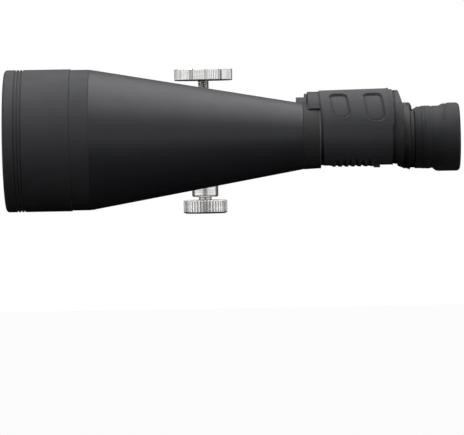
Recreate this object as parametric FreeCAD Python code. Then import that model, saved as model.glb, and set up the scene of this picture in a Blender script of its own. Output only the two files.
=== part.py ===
import FreeCAD, Part
import math
import os
from FreeCAD import Vector

# Giant porro-prism astronomy binocular with a built-in tripod adapter.
#
# Working frame (mm):
#   x  distance behind the front rims of the hoods, along the optical axes
#   y  sideways from the plane of symmetry, + is the user's right
#   z  height above the plane of the two objective axes
# Export frame: origin at the mouth of the tripod socket, under the adapter,
# +X towards the eyepieces, +Y to the user's right, +Z up.
#
# An "axis" is a (y, z) pair: the place of a line that runs along x.
# Both halves are built on the +y side, and the left one is then mirrored.

AXIS_X = Vector(1, 0, 0)
AXIS_Z = Vector(0, 0, 1)

# --- clearances ---
FIT = 0.05              # radial running clearance, and small gaps between pieces
CLOSE_FIT = 0.02

# --- overall layout ---
X_POST = 136.3          # adapter axis behind the front rims
OBJECTIVE = (66.0, 0.0)
EYEPIECE = (33.0, -2.0)
MIDDLE = ((OBJECTIVE[0] + EYEPIECE[0]) / 2.0, 15.5)  # light path between the prisms
HINGE_Z = 13.6
HINGE = (0.0, HINGE_Z)
LEFT_EYEPIECE = (-EYEPIECE[0], EYEPIECE[1])

# --- objective end ---
HOOD_R = 49.0
HOOD_BORE_R = 46.0
HOOD_L = 45.3
HOOD_GROOVES = (7.3, 9.5, 11.8)
RING_R = 48.48          # parallel front ring of the barrel
RING_END = 58.3
CONE_END = 205.0
CONE_SLOPE = 0.1754     # radius lost per mm of length
BARREL_WALL = 2.3
SPIGOT_R = 46.45
SPIGOT_X = 31.0
CELL_R = 44.35
CELL_BORE_R = 41.05
LENS_R = 41.0
NECK_R = 16.6
NECK_BORE_R = 14.6
COLLAR_R = 23.0

# --- prism housing ---
HOUSE_X0 = 217.0
HOUSE_X1 = 268.0
FRONT_WALL = 2.2
CAVITY_X0 = HOUSE_X0 + FRONT_WALL
COVER_X1 = 273.8
ARMOUR_X0 = 217.05
ARMOUR_X1 = 267.0
ARMOUR_T = 1.6
CASTING_T = 3.8         # outer skin to cavity
ARMOUR_Y0 = 24.0        # the armour stops here on the inboard side
SIDE_R = 28.0           # upper outboard rounding of the housing
HOUSE_TOP = 31.4
HOUSE_SIDE = 89.0
# corners of the outer skin as (y, z), with the rounding radius of each below
SECTION = [(15.0, -20.6), (HOUSE_SIDE, -20.6), (HOUSE_SIDE, HOUSE_TOP),
           (42.0, HOUSE_TOP), (18.5, 14.0), (13.0, 0.0)]
SECTION_R = [7.0, 22.0, SIDE_R, 8.0, 5.0, 6.0]
SHOULDER_X0 = 208.5
SHOULDER_Z = 18.9       # underside of the shoulder
SHOULDER_R = 24.0
SHOULDER_INSET = 0.7
SHOULDER_AXIS = (59.4, HOUSE_TOP - SHOULDER_INSET - SHOULDER_R)
SHELF_X0 = 240.5
SHELF_X1 = SHELF_X0 + 2.0
# cover screws: axis, and the x of the seat of the head
COVER_SCREWS = [((52.0, -14.6), 272.4), ((83.2, 2.0), 272.4),
                ((58.0, 25.2), 271.0), ((34.5, 19.8), 271.0)]
SCREW_HOLE_X0 = 259.0
LUG_X = (253.2, 257.3)
LUG_Y = (65.5, 75.5)
# limits of cutting boxes, clear of one half of the instrument
INBOARD, OUTBOARD, REACH = -5, 120, 60

# prisms: axis of one beam, axis of the other, x of the long face,
# direction of the roof edge along x, depth cut off the roof edge
PRISMS = [(OBJECTIVE, MIDDLE, SHELF_X1 + 0.1, 1, 2.0),
          (MIDDLE, EYEPIECE, SHELF_X0 - 0.1, -1, 3.9)]
PRISM_MARGIN = 0.15

# --- hinge and centre rod ---
ROD_R = 8.0
ROD_X0 = 62.0
ROD_X1 = 251.0
KNUCKLE_R = 14.0
LEFT_KNUCKLES = [(201.6, 213.8), (226.6, 237.4)]
RIGHT_KNUCKLES = [(214.8, 225.6), (238.4, 249.2)]
HUB_R = 12.0
SADDLE_X = (62.0, 88.0)
SADDLE_T = 3.0

# --- focusing ---
TAIL_R = 6.0
TAIL_X1 = 262.0
WHEEL_X0 = 252.2
WHEEL_X1 = 267.0
WHEEL_R = 15.5
WHEEL_HUB_R = 13.2
SPINDLE_R = 4.0
SPINDLE_TIP_R = 3.0
CLIP_X = (259.5, 260.5)
CLIP_GROOVE_R = 5.3
ARM_X0 = 274.1
ARM_X1 = 279.7
BOSS_R = 9.2
ARM_RELIEF_R = 15.2     # inside this the arms are thinned, one behind the other
ARM_RING_R = 22.6
LINK_R = 12.5           # half-width of the arm's link at the eyepiece
TUBE_R = 13.0
TUBE_X0 = 265.0
RING_X1 = 283.0         # rear end of the rings on the eyepiece tubes
OCULAR_R = 17.0
OCULAR_X1 = 306.0

# --- tripod adapter ---
COLUMN_R = 11.0
COLUMN_Z0 = -8.0
COLUMN_Z1 = 31.5
SLEEVE_R = 14.5
BLOCK_L = 26.6
BLOCK_X0 = X_POST - BLOCK_L / 2.0
BLOCK_X1 = X_POST + BLOCK_L / 2.0
BUSH_R = 9.5
BUSH_FLANGE_R = 13.0
PAD_R = 6.0
PAD_Z0 = 20.0
STUD_R = 4.0
KNOB_R = 20.5
KNOB_Z0 = 40.6
KNOB_Z1 = 48.7
KNOB_GROOVES = 12
POST_R = 9.25
POST_Z0 = -41.7
POST_BORE_R = 4.5
POST_POCKET_R = 7.5
THUMB_NECK_R = 4.45
THUMB_GROOVE_R = 3.5
THUMB_R = 15.5
THUMB_Z0 = -53.3
THUMB_Z1 = -43.8
THUMB_FLUTES = 40
SOCKET_R = 2.55         # crests of a 1/4"-20 thread
SOCKET_L = 9.0
Z_ORIGIN = -THUMB_Z0    # objective axes above the socket's mouth

# What differs between the halves: hinge knuckles, front-arm hub, x of the
# front-arm screws, and boss of the bridge arm
SIDES = {
    "right": (RIGHT_KNUCKLES, (75.1, 84.0), 68.0, (277.0, ARM_X1)),
    "left": (LEFT_KNUCKLES, (66.0, 74.9), 82.0, (ARM_X0, 276.8)),
}


# ------------------------------ shape helpers ------------------------------

def cylinder(x0, x1, radius, axis):
    return Part.makeCylinder(radius, x1 - x0, Vector(x0, *axis), AXIS_X)


def bore(x0, x1, radius, axis, past=1.0):
    """Cutting cylinder that reaches past both ends."""
    return cylinder(x0 - past, x1 + past, radius, axis)


def tube(x0, x1, outer, inner, axis):
    return cylinder(x0, x1, outer, axis).cut(bore(x0, x1, inner, axis))


def upright(z0, z1, radius, x=X_POST, y=0.0):
    """Vertical cylinder, on the adapter axis unless placed elsewhere."""
    return Part.makeCylinder(radius, z1 - z0, Vector(x, y, z0), AXIS_Z)


def box(x0, x1, y0, y1, z0, z1):
    return Part.makeBox(x1 - x0, y1 - y0, z1 - z0, Vector(x0, y0, z0))


def flat_face(corners):
    return Part.Face(Part.makePolygon(corners + [corners[0]]))


def turned(profile, axis):
    """Closed (x, radius) profile turned about an axis along x."""
    y, z = axis
    face = flat_face([Vector(x, y, z + radius) for x, radius in profile])
    return face.revolve(Vector(0, y, z), AXIS_X, 360)


def turned_upright(profile):
    """Closed (radius, z) profile turned about the adapter axis."""
    face = flat_face([Vector(X_POST + radius, 0, z) for radius, z in profile])
    return face.revolve(Vector(X_POST, 0, 0), AXIS_Z, 360)


def plate(outline, x0, x1):
    """Straight-sided (y, z) outline extruded along x."""
    face = flat_face([Vector(x0, y, z) for y, z in outline])
    return face.extrude(Vector(x1 - x0, 0, 0))


def merged(shape):
    """Joins split faces, and unwraps a lone solid."""
    shape = shape.removeSplitter()
    return shape.Solids[0] if len(shape.Solids) == 1 else shape


def lens(x_front, sag_front, x_rear, sag_rear, radius, axis):
    """x_front and x_rear are where the faces meet the rim; a positive
    sag_front bulges forward and a positive sag_rear bulges rearward."""
    y, z = axis
    rim_front = Vector(x_front, y, z + radius)
    rim_rear = Vector(x_rear, y, z + radius)
    vertex_front = Vector(x_front - sag_front, y, z)
    vertex_rear = Vector(x_rear + sag_rear, y, z)

    def face_edge(rim, vertex, sag):
        if abs(sag) < 1e-6:
            return Part.makeLine(vertex, rim)
        curvature_r = (radius * radius + sag * sag) / (2.0 * abs(sag))
        height = radius * 0.5
        step = curvature_r - math.sqrt(curvature_r * curvature_r - height * height)
        if vertex.x >= rim.x:
            step = -step
        middle = Vector(vertex.x + step, y, z + height)
        return Part.Arc(vertex, middle, rim).toShape()

    edges = [face_edge(rim_front, vertex_front, sag_front),
             Part.makeLine(rim_front, rim_rear),
             face_edge(rim_rear, vertex_rear, sag_rear),
             Part.makeLine(vertex_rear, vertex_front)]
    wire = Part.Wire(Part.__sortEdges__(edges))
    return Part.Face(wire).revolve(Vector(0, y, z), AXIS_X, 360)


def inset(points, radii, depth):
    """Moves every side of a convex outline inwards by depth."""
    lines = []
    for i, (ay, az) in enumerate(points):
        by, bz = points[(i + 1) % len(points)]
        length = math.hypot(by - ay, bz - az)
        dir_y, dir_z = (by - ay) / length, (bz - az) / length
        lines.append((ay - dir_z * depth, az + dir_y * depth, dir_y, dir_z))
    corners = []
    for i in range(len(lines)):
        y1, z1, dir_y1, dir_z1 = lines[i - 1]
        y2, z2, dir_y2, dir_z2 = lines[i]
        det = dir_z1 * dir_y2 - dir_y1 * dir_z2
        run = (dir_y2 * (z2 - z1) - (y2 - y1) * dir_z2) / det
        corners.append((y1 + dir_y1 * run, z1 + dir_z1 * run))
    return corners, [max(radius - depth, 0.4) for radius in radii]


def rounded_plate(points, radii, x0, x1):
    """(y, z) outline with rounded corners, extruded along x."""
    count = len(points)
    corners = [Vector(x0, y, z) for y, z in points]
    arcs = []
    for i, corner in enumerate(corners):
        to_last = corners[i - 1].sub(corner)
        to_last.normalize()
        to_next = corners[(i + 1) % count].sub(corner)
        to_next.normalize()
        half_angle = to_last.getAngle(to_next) / 2
        setback = radii[i] / math.tan(half_angle)
        bisector = to_last.add(to_next)
        bisector.normalize()
        centre = corner.add(bisector * (radii[i] / math.sin(half_angle)))
        outward = corner.sub(centre)
        outward.normalize()
        arcs.append((corner.add(to_last * setback), centre.add(outward * radii[i]),
                     corner.add(to_next * setback)))
    edges = []
    for i, (start, middle, end) in enumerate(arcs):
        next_start = arcs[(i + 1) % count][0]
        edges.append(Part.Arc(start, middle, end).toShape())
        if end.distanceToPoint(next_start) > 1e-6:
            edges.append(Part.makeLine(end, next_start))
    return Part.Face(Part.Wire(edges)).extrude(Vector(x1 - x0, 0, 0))


def section(depth, x0, x1):
    """Length of the housing's outline, set in from the outer skin by depth."""
    points, radii = inset(SECTION, SECTION_R, depth) if depth else (SECTION, SECTION_R)
    return rounded_plate(points, radii, x0, x1)


def cut_rim_grooves(shape, count, offset, radius, circle_r, z0, z1):
    """Upright grooves round the adapter axis; offset is a part of the pitch."""
    for i in range(count):
        angle = 2.0 * math.pi * (i + offset) / count
        shape = shape.cut(upright(z0, z1, radius, X_POST + circle_r * math.cos(angle),
                                  circle_r * math.sin(angle)))
    return shape


# ------------------------------ objective end ------------------------------

def cone_radius(x):
    return RING_R - CONE_SLOPE * (x - RING_END)


def barrel_cone(x0, x1, extra=0.0):
    return Part.makeCone(cone_radius(x0) + extra, cone_radius(x1) + extra, x1 - x0,
                         Vector(x0, *OBJECTIVE), AXIS_X)


def objective_hood():
    """Tube with a rounded lip, three fine grooves and a rear socket."""
    groove_depth, groove_half, floor_half = 0.6, 0.45, 0.2
    socket_x = SPIGOT_X - 0.5
    profile = [(0.0, HOOD_R - 1.9), (0.25, HOOD_R - 0.7), (1.0, HOOD_R)]
    for x in HOOD_GROOVES:
        profile += [(x - groove_half, HOOD_R), (x - floor_half, HOOD_R - groove_depth),
                    (x + floor_half, HOOD_R - groove_depth), (x + groove_half, HOOD_R)]
    profile += [(HOOD_L - 0.4, HOOD_R), (HOOD_L, HOOD_R - 0.4),
                (HOOD_L, SPIGOT_R + FIT), (socket_x, SPIGOT_R + FIT),
                (socket_x, HOOD_BORE_R), (1.2, HOOD_BORE_R), (0.3, HOOD_BORE_R + 0.4)]
    return turned(profile, OBJECTIVE)


def objective_barrel(screws):
    """Spigot, front ring, long cone and rear neck in one piece."""
    barrel = turned([
        (SPIGOT_X, SPIGOT_R), (HOOD_L, SPIGOT_R), (HOOD_L, RING_R - 0.3),
        (HOOD_L + 0.3, RING_R), (RING_END, RING_R),
        (CONE_END - 0.4, cone_radius(CONE_END - 0.4)),
        (CONE_END, cone_radius(CONE_END) - 0.5), (CONE_END, NECK_R),
        (CAVITY_X0, NECK_R), (CAVITY_X0, NECK_BORE_R),
        (202.5, NECK_BORE_R), (202.5, 20.6), (62.5, cone_radius(62.5) - BARREL_WALL),
        (60.5, CELL_R + FIT), (SPIGOT_X, CELL_R + FIT)], OBJECTIVE)
    for screw in screws:
        barrel = barrel.cut(screw)
    return merged(barrel)


def objective_cell():
    lip_x, lip_r, end_x = 57.0, 39.0, 60.0
    return turned([(36.0, CELL_BORE_R), (36.0, CELL_R), (end_x, CELL_R), (end_x, lip_r),
                   (lip_x, lip_r), (lip_x, CELL_BORE_R)], OBJECTIVE)


def objective_doublet():
    return Part.makeCompound([lens(46.5, 5.0, 48.5, 4.0, LENS_R, OBJECTIVE),
                              lens(48.6, -4.0, 56.95, 0.0, LENS_R, OBJECTIVE)])


def lens_retainer():
    return turned([(43.5, 39.2), (43.5, LENS_R), (46.4, LENS_R), (45.95, 39.2)], OBJECTIVE)


def radial_pin(x, angle, start, length, radius):
    """Cylinder pointing straight out from the objective axis."""
    dir_y, dir_z = math.cos(angle), math.sin(angle)
    foot = Vector(x, OBJECTIVE[0] + dir_y * start, dir_z * start)
    return Part.makeCylinder(radius, length, foot, Vector(0, dir_y, dir_z))


def arm_screws(x):
    """Two screws from the saddle into the barrel wall, and their key holes."""
    toward_hinge = math.atan2(HINGE_Z, -OBJECTIVE[0])
    inner = cone_radius(x) - 1.6
    outer = cone_radius(x) + SADDLE_T + 0.2
    screws, key_holes = [], []
    for spread in (-14.0, 14.0):
        angle = toward_hinge + math.radians(spread)
        shank = radial_pin(x, angle, inner, outer - inner, 1.5)
        head = radial_pin(x, angle, outer - 1.4, 1.7, 2.75)
        screws.append(merged(shank.fuse(head)))
        key_holes.append(radial_pin(x, angle, outer - 0.6, 1.2, 1.1))
    return screws, key_holes


def front_arm(hub, screws):
    """Hub on the rod, web, and saddle on the barrel."""
    x0, x1 = SADDLE_X
    saddle = barrel_cone(x0, x1, SADDLE_T).common(box(x0, x1, 10.0, 29.0, -13.0, 31.0))
    web = plate([(0.0, HINGE_Z + 9.5), (33.0, 22.0), (33.0, -6.0), (0.0, HINGE_Z - 9.5)], *hub)
    arm = cylinder(*hub, HUB_R, HINGE).fuse(web).fuse(saddle)
    arm = arm.cut(barrel_cone(x0 - 3.0, x1 + 3.0)).cut(bore(*hub, ROD_R + FIT, HINGE))
    for screw in screws:
        arm = arm.cut(screw)
    return merged(arm)


def barrel_collar():
    """Ring between the cone and the housing."""
    rear_x = HOUSE_X0 - FIT
    return turned([(CONE_END, NECK_R + FIT), (CONE_END, COLLAR_R - 0.6),
                   (CONE_END + 0.5, COLLAR_R), (HOUSE_X0 - 0.8, COLLAR_R - 0.3),
                   (rear_x, COLLAR_R - 0.9), (rear_x, NECK_R + FIT)], OBJECTIVE)


# ------------------------------ prism housing ------------------------------

def shoulder_limit(x0, x1, cylinder_x0, cylinder_x1, radius):
    """Draws the shoulder's outboard end in to a round."""
    return cylinder(cylinder_x0, cylinder_x1, radius, SHOULDER_AXIS).fuse(
        box(x0, x1, INBOARD, SHOULDER_AXIS[0], -REACH, REACH))


def casting_shell():
    """Hollow body with the shoulder ahead of its upper part."""
    core = section(ARMOUR_T, HOUSE_X0, HOUSE_X1)
    inner_side = section(0.0, HOUSE_X0, HOUSE_X1).common(
        box(HOUSE_X0, HOUSE_X1, INBOARD, ARMOUR_Y0, -REACH, REACH))
    ends = (SHOULDER_X0 - 1, HOUSE_X0 + 1)
    shoulder = section(SHOULDER_INSET, SHOULDER_X0, HOUSE_X0).common(
        box(SHOULDER_X0, HOUSE_X0, INBOARD, OUTBOARD, SHOULDER_Z, REACH)).common(
        shoulder_limit(*ends, *ends, SHOULDER_R))
    shell = core.fuse(inner_side).fuse(shoulder)
    shell = shell.cut(section(CASTING_T, CAVITY_X0, HOUSE_X1 + 1))
    ends = (SHOULDER_X0, HOUSE_X1)
    hollow = section(2.9, SHOULDER_X0 + 2.0, CAVITY_X0 + 0.2).common(
        box(*ends, INBOARD, OUTBOARD, SHOULDER_Z + 2.0, REACH)).common(
        shoulder_limit(*ends, *ends, SHOULDER_R - 2.2))
    shell = shell.cut(hollow)
    return shell.cut(cylinder(SHOULDER_X0 - 1, HOUSE_X0, COLLAR_R + 0.15, OBJECTIVE))


def prism_housing(knuckles):
    casting = casting_shell()
    # hinge knuckles and their webs
    web_outline = [(0.0, HINGE_Z + 13.6), (41.5, 30.6), (41.5, 24.5),
                   (21.0, 9.0), (17.0, 2.0), (0.0, HINGE_Z - 13.2)]
    for x0, x1 in knuckles:
        web = plate(web_outline, max(x0, SHOULDER_X0 + 0.2), x1)
        if x0 < HOUSE_X0:
            web = web.cut(cylinder(x0 - 1, HOUSE_X0, COLLAR_R + 1.5, OBJECTIVE))
        web = web.cut(section(CASTING_T, CAVITY_X0, HOUSE_X1 + 1))
        casting = casting.fuse(web).fuse(cylinder(x0, x1, KNUCKLE_R, HINGE))
    for x0, x1 in knuckles:
        casting = casting.cut(bore(x0, x1, ROD_R + FIT, HINGE, 0.5))
    casting = casting.cut(bore(HOUSE_X0, CAVITY_X0, NECK_R + FIT, OBJECTIVE, 0.5))
    for axis, _ in COVER_SCREWS:
        hole = cylinder(SCREW_HOLE_X0, HOUSE_X1 + 1, 1.0, axis)
        casting = casting.fuse(cylinder(258.0, HOUSE_X1, 2.6, axis).cut(hole))
        casting = casting.cut(hole)
    # ledges that carry the shelf
    ledge_x0 = 236.0
    for axis in ((83.6, 3.0), (46.0, -15.2), (66.5, 24.8)):
        ledge = cylinder(ledge_x0, SHELF_X0 - FIT, 3.0, axis)
        casting = casting.fuse(ledge.common(section(CASTING_T - 0.4, ledge_x0, SHELF_X0)))
    return merged(casting)


def strap_lug():
    """Lug at the lower outboard part of the housing, with one bevelled corner."""
    hole_axis = ((LUG_Y[0] + LUG_Y[1]) / 2.0, -20.3)
    lug = box(*LUG_X, *LUG_Y, -22.3, -15.0).cut(section(ARMOUR_T, 250.0, 260.0)).cut(
        cylinder(251.0, 259.0, 1.1, hole_axis))
    return merged(lug.cut(plate([(72.6, -23.0), (76.0, -23.0), (76.0, -18.0)], 252.0, 258.0)))


def housing_armour(housing):
    """Rubber sleeve with two shallow recesses on its upper outboard rounding."""
    armour = section(0.0, ARMOUR_X0, ARMOUR_X1).cut(
        section(ARMOUR_T - 0.1, ARMOUR_X0 - 1, ARMOUR_X1 + 1))
    armour = armour.common(
        box(ARMOUR_X0, ARMOUR_X1, ARMOUR_Y0 + 0.1, OUTBOARD, -REACH, REACH))
    lug_gap = 0.1
    armour = armour.cut(box(LUG_X[0] - lug_gap, LUG_X[1] + lug_gap,
                            LUG_Y[0] - lug_gap, LUG_Y[1] + lug_gap, -23.5, -14.0))
    side_axis = (HOUSE_SIDE - SIDE_R, HOUSE_TOP - SIDE_R)
    for x0, x1, z0, z1 in ((223.2, 236.6, 11.7, 28.0), (247.2, 260.1, 8.9, 27.6)):
        recess = tube(x0, x1, SIDE_R + 0.5, SIDE_R - 0.9, side_axis)
        armour = armour.cut(recess.common(box(x0, x1, side_axis[0], 95.0, z0, z1)))
    # the hinge webs come out through the armour
    return merged(armour.cut(housing))


def beam_grid(beam_a, beam_b):
    """Spacing of two beams, and a function that turns (along, across)
    from their midpoint into (y, z)."""
    span_y, span_z = beam_b[0] - beam_a[0], beam_b[1] - beam_a[1]
    spacing = math.hypot(span_y, span_z)
    mid_y, mid_z = (beam_a[0] + beam_b[0]) / 2.0, (beam_a[1] + beam_b[1]) / 2.0
    dir_y, dir_z = span_y / spacing, span_z / spacing

    def place(along, across):
        return (mid_y + dir_y * along - dir_z * across,
                mid_z + dir_z * along + dir_y * across)
    return spacing, place


def porro(beam_a, beam_b, x_face, direction, truncate):
    """Right-angle prism with its long face across both beams."""
    spacing, place = beam_grid(beam_a, beam_b)
    radius = spacing / 2.0 - PRISM_MARGIN
    half = spacing - PRISM_MARGIN
    depth = half - truncate
    x_far = x_face + direction * depth
    x0, x1 = min(x_face, x_far), max(x_face, x_far)
    # stadium around the two beams
    reach = spacing / 2.0
    middle = plate([place(-reach, radius), place(reach, radius),
                    place(reach, -radius), place(-reach, -radius)], x0, x1)
    stadium = cylinder(x0, x1, radius, beam_a).fuse(
        cylinder(x0, x1, radius, beam_b)).fuse(middle)
    # wedge with 45 degree sides
    width = radius * 1.5
    face = flat_face([Vector(x, *place(along, -width)) for along, x in (
        (-half, x_face), (half, x_face), (half - depth, x_far), (depth - half, x_far))])
    sweep = Vector(0, *place(0, width)).sub(Vector(0, *place(0, -width)))
    return merged(stadium.common(face.extrude(sweep)))


def prism_shelf():
    shelf = section(CASTING_T + 0.1, SHELF_X0, SHELF_X1)
    for axis in (OBJECTIVE, MIDDLE, EYEPIECE):
        shelf = shelf.cut(bore(SHELF_X0, SHELF_X1, 9.5, axis))
    return merged(shelf)


def prism_clip(beam_a, beam_b, x_face, direction, truncate):
    """Bent strap: a bridge over the roof edge and two legs down the flat sides."""
    gap, thickness, half_width = 0.15, 0.6, 2.0
    spacing, place = beam_grid(beam_a, beam_b)
    inner = spacing / 2.0 - PRISM_MARGIN + gap
    outer = inner + thickness
    x_roof = x_face + direction * (spacing - PRISM_MARGIN - truncate + gap)
    x_outer = x_roof + direction * thickness
    x_base = x_face + direction * FIT
    bars = []
    for across0, across1, x_start in ((-outer, outer, x_roof), (-outer, -inner, x_base),
                                      (inner, outer, x_base)):
        outline = [place(-half_width, across0), place(-half_width, across1),
                   place(half_width, across1), place(half_width, across0)]
        bars.append(plate(outline, min(x_start, x_outer), max(x_start, x_outer)))
    return merged(bars[0].fuse(bars[1]).fuse(bars[2]))


def rear_cover():
    """Cover with the eyepiece guide."""
    bevel_x = COVER_X1 - 0.8
    cover = section(0.5, HOUSE_X1 + FIT, COVER_X1)
    cover = cover.common(section(0.5, HOUSE_X1, bevel_x).fuse(section(1.3, bevel_x, COVER_X1)))
    # the upper part of the rear face leans forward
    lean = flat_face([Vector(x, INBOARD, z) for x, z in (
        (270.2, 32.0), (276.0, 32.0), (276.0, 19.0), (273.85, 19.0))])
    cover = cover.cut(lean.extrude(Vector(0, 120, 0)))
    cover = cover.fuse(cylinder(264.5, HOUSE_X1 + 0.2, 14.6, EYEPIECE))
    cover = cover.cut(cylinder(260.0, 280.0, TUBE_R + FIT, EYEPIECE))
    for axis, head_x in COVER_SCREWS:
        cover = cover.cut(cylinder(HOUSE_X1 - 1, head_x, 1.05, axis))
        cover = cover.cut(cylinder(head_x - 0.02, 280.0, 2.05, axis))
    return merged(cover)


def cover_screw(axis, head_x):
    """Screw with a cross slot."""
    y, z = axis
    long, short = 1.3, 0.25         # half-sizes of the slot's arms
    slot_x = (head_x + 0.7, head_x + 2)
    screw = cylinder(260.0, head_x, 0.98, axis).fuse(
        cylinder(head_x, head_x + 1.3, 1.9, axis))
    slot = box(*slot_x, y - short, y + short, z - long, z + long).fuse(
        box(*slot_x, y - long, y + long, z - short, z + short))
    return merged(screw.cut(slot))


def bridge_arm(boss):
    """Ring on the eyepiece tube, with an arm to the spindle boss."""
    # sides of the link are tangent to the circles at its two ends
    span_y, span_z = EYEPIECE[0], EYEPIECE[1] - HINGE_Z
    slant = math.atan2(span_z, span_y)
    tangent = math.acos((BOSS_R - LINK_R) / math.hypot(span_y, span_z))
    outline = []
    for radius, (y, z), sign in ((BOSS_R, HINGE, 1), (LINK_R, EYEPIECE, 1),
                                 (LINK_R, EYEPIECE, -1), (BOSS_R, HINGE, -1)):
        angle = slant + sign * tangent
        outline.append((y + radius * math.cos(angle), z + radius * math.sin(angle)))
    arm = cylinder(ARM_X0, ARM_X1, ARM_RING_R, EYEPIECE).fuse(plate(outline, ARM_X0, ARM_X1))
    arm = arm.cut(bore(ARM_X0, ARM_X1, ARM_RELIEF_R, HINGE))
    # thinned eye of the arm, only as thick as its boss
    eye = cylinder(*boss, BOSS_R, HINGE).fuse(
        plate(outline, *boss).common(cylinder(*boss, ARM_RELIEF_R + 0.6, HINGE)))
    arm = arm.fuse(eye)
    arm = arm.cut(bore(ARM_X0, ARM_X1, SPINDLE_TIP_R + FIT, HINGE))
    return merged(arm.cut(bore(ARM_X0, ARM_X1, TUBE_R, EYEPIECE)))


def half_pieces(knuckles, hub, arm_screw_x, boss):
    """One half of the instrument, on the +y side."""
    screws, key_holes = arm_screws(arm_screw_x)
    housing = prism_housing(knuckles)
    heads = [cover_screw(*place) for place in COVER_SCREWS]
    heads += [merged(screw.cut(hole)) for screw, hole in zip(screws, key_holes)]
    return {
        "objective_hood": objective_hood(),
        "objective_barrel": objective_barrel(screws),
        "objective_cell": objective_cell(),
        "objective_doublet": objective_doublet(),
        "lens_retainer": lens_retainer(),
        "front_arm": front_arm(hub, screws),
        "barrel_collar": barrel_collar(),
        "prism_housing": housing,
        "strap_lug": strap_lug(),
        "housing_armour": housing_armour(housing),
        "prisms": Part.makeCompound([porro(*prism) for prism in PRISMS]),
        "prism_shelf": prism_shelf(),
        "prism_clips": Part.makeCompound([prism_clip(*prism) for prism in PRISMS]),
        "rear_cover": rear_cover(),
        "screws": Part.makeCompound(heads),
        "bridge_arm": bridge_arm(boss),
    }


# -------------------------------- eyepieces --------------------------------

def ocular_tube(x0, inner, outer, axis):
    """Tube that widens into the ocular barrel."""
    seat_x, seat_r = 287.5, 15.05
    return merged(turned([
        (x0, inner), (x0, outer), (284.8, outer), (284.8, OCULAR_R), (OCULAR_X1, OCULAR_R),
        (OCULAR_X1, seat_r), (seat_x, seat_r), (seat_x, inner)], axis))


def right_eyepiece_sleeve():
    """Sleeve in the bridge arm, in which the right ocular slides."""
    return turned([(TUBE_X0, 11.6), (TUBE_X0, TUBE_R), (RING_X1, TUBE_R), (RING_X1, 11.6)],
                  EYEPIECE)


def eyepiece_ring(clearance, axis):
    x0 = ARM_X1 + 0.1
    inner = TUBE_R + clearance
    return turned([(x0, inner), (x0, 18.5), (ARM_X1 + 0.4, 18.9), (RING_X1 - 0.2, 18.9),
                   (RING_X1, 18.6), (RING_X1, inner)], axis)


def eyepiece_lenses(axis):
    return Part.makeCompound([lens(288.2, 0.0, 290.6, 2.6, 15.0, axis),
                              lens(299.6, 2.4, 303.4, 0.5, 15.0, axis)])


def eye_lens_ring(axis):
    return turned([(303.6, 12.4), (303.6, 15.0), (OCULAR_X1, 15.0), (OCULAR_X1, 13.2)], axis)


def eyecup(axis):
    """Rubber cup around the ocular barrel."""
    lip_x = OCULAR_X1 + 0.1
    inner = OCULAR_R + 0.1
    return turned([
        (283.2, 19.3), (283.2, 20.7), (288.0, 21.8), (293.7, 21.9), (296.0, 21.6),
        (301.0, 21.9), (306.0, 23.6), (311.5, 23.9), (313.6, 23.6), (314.7, 22.6),
        (314.7, 21.2), (309.0, 19.6), (306.4, 17.6), (306.4, 13.4), (lip_x, 13.4),
        (lip_x, inner), (285.6, inner), (285.6, 19.3)], axis)


# -------------------------- centre rod and focusing --------------------------

def center_rod():
    """Rod with a stepped tail, bored at both ends."""
    rod = cylinder(ROD_X0, ROD_X1, ROD_R, HINGE).fuse(
        cylinder(ROD_X1, TAIL_X1, TAIL_R, HINGE))
    rod = rod.cut(cylinder(226.0, TAIL_X1 + 1, SPINDLE_R + FIT, HINGE))
    rod = rod.cut(cylinder(ROD_X0 - 1, ROD_X0 + 14.0, 3.0, HINGE))
    return merged(rod.cut(tube(CLIP_X[0] - 0.1, CLIP_X[1] + 0.1, 7.0, CLIP_GROOVE_R, HINGE)))


def rod_front_cap():
    """Slotted cap over the rod's front end, with a pin into its bore."""
    seat_x, rim_x, rim_r = ROD_X0 - FIT, 65.8, 11.0
    cap = turned([(58.6, 0.0), (58.6, 9.4), (60.0, rim_r), (seat_x, rim_r), (rim_x, rim_r),
                  (rim_x, ROD_R + CLOSE_FIT), (seat_x, ROD_R + CLOSE_FIT), (seat_x, 0.0)],
                 HINGE)
    cap = cap.fuse(cylinder(ROD_X0 - 0.1, ROD_X0 + 12.0, 2.95, HINGE))
    return cap.cut(box(58.0, 59.8, -0.9, 0.9, HINGE_Z - 6.0, HINGE_Z + 6.0))


def hinge_washers():
    """One washer in each gap between neighbouring knuckles."""
    ends = sorted(x1 for _, x1 in LEFT_KNUCKLES + RIGHT_KNUCKLES)[:-1]
    return Part.makeCompound([tube(x + 0.1, x + 0.9, 13.6, ROD_R + CLOSE_FIT, HINGE)
                              for x in ends])


def rod_collars():
    """Collar before the knuckles, stop ring behind the hubs, and notched nut."""
    front_collar = turned([(198.6, ROD_R), (198.6, 9.9), (199.2, 10.5), (201.5, 10.5),
                           (201.5, ROD_R)], HINGE)
    stop_ring = tube(84.2, 87.0, 11.5, ROD_R, HINGE)
    nut = cylinder(249.4, ROD_X1, 12.2, HINGE).cut(cylinder(249.0, 252.0, ROD_R, HINGE))
    for angle in (0, 180):
        notch = box(249.0, 252.0, 10.2, 13.0, HINGE_Z - 1.6, HINGE_Z + 1.6)
        notch.rotate(Vector(0, *HINGE), AXIS_X, angle)
        nut = nut.cut(notch)
    return Part.makeCompound([front_collar, stop_ring, merged(nut)])


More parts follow.
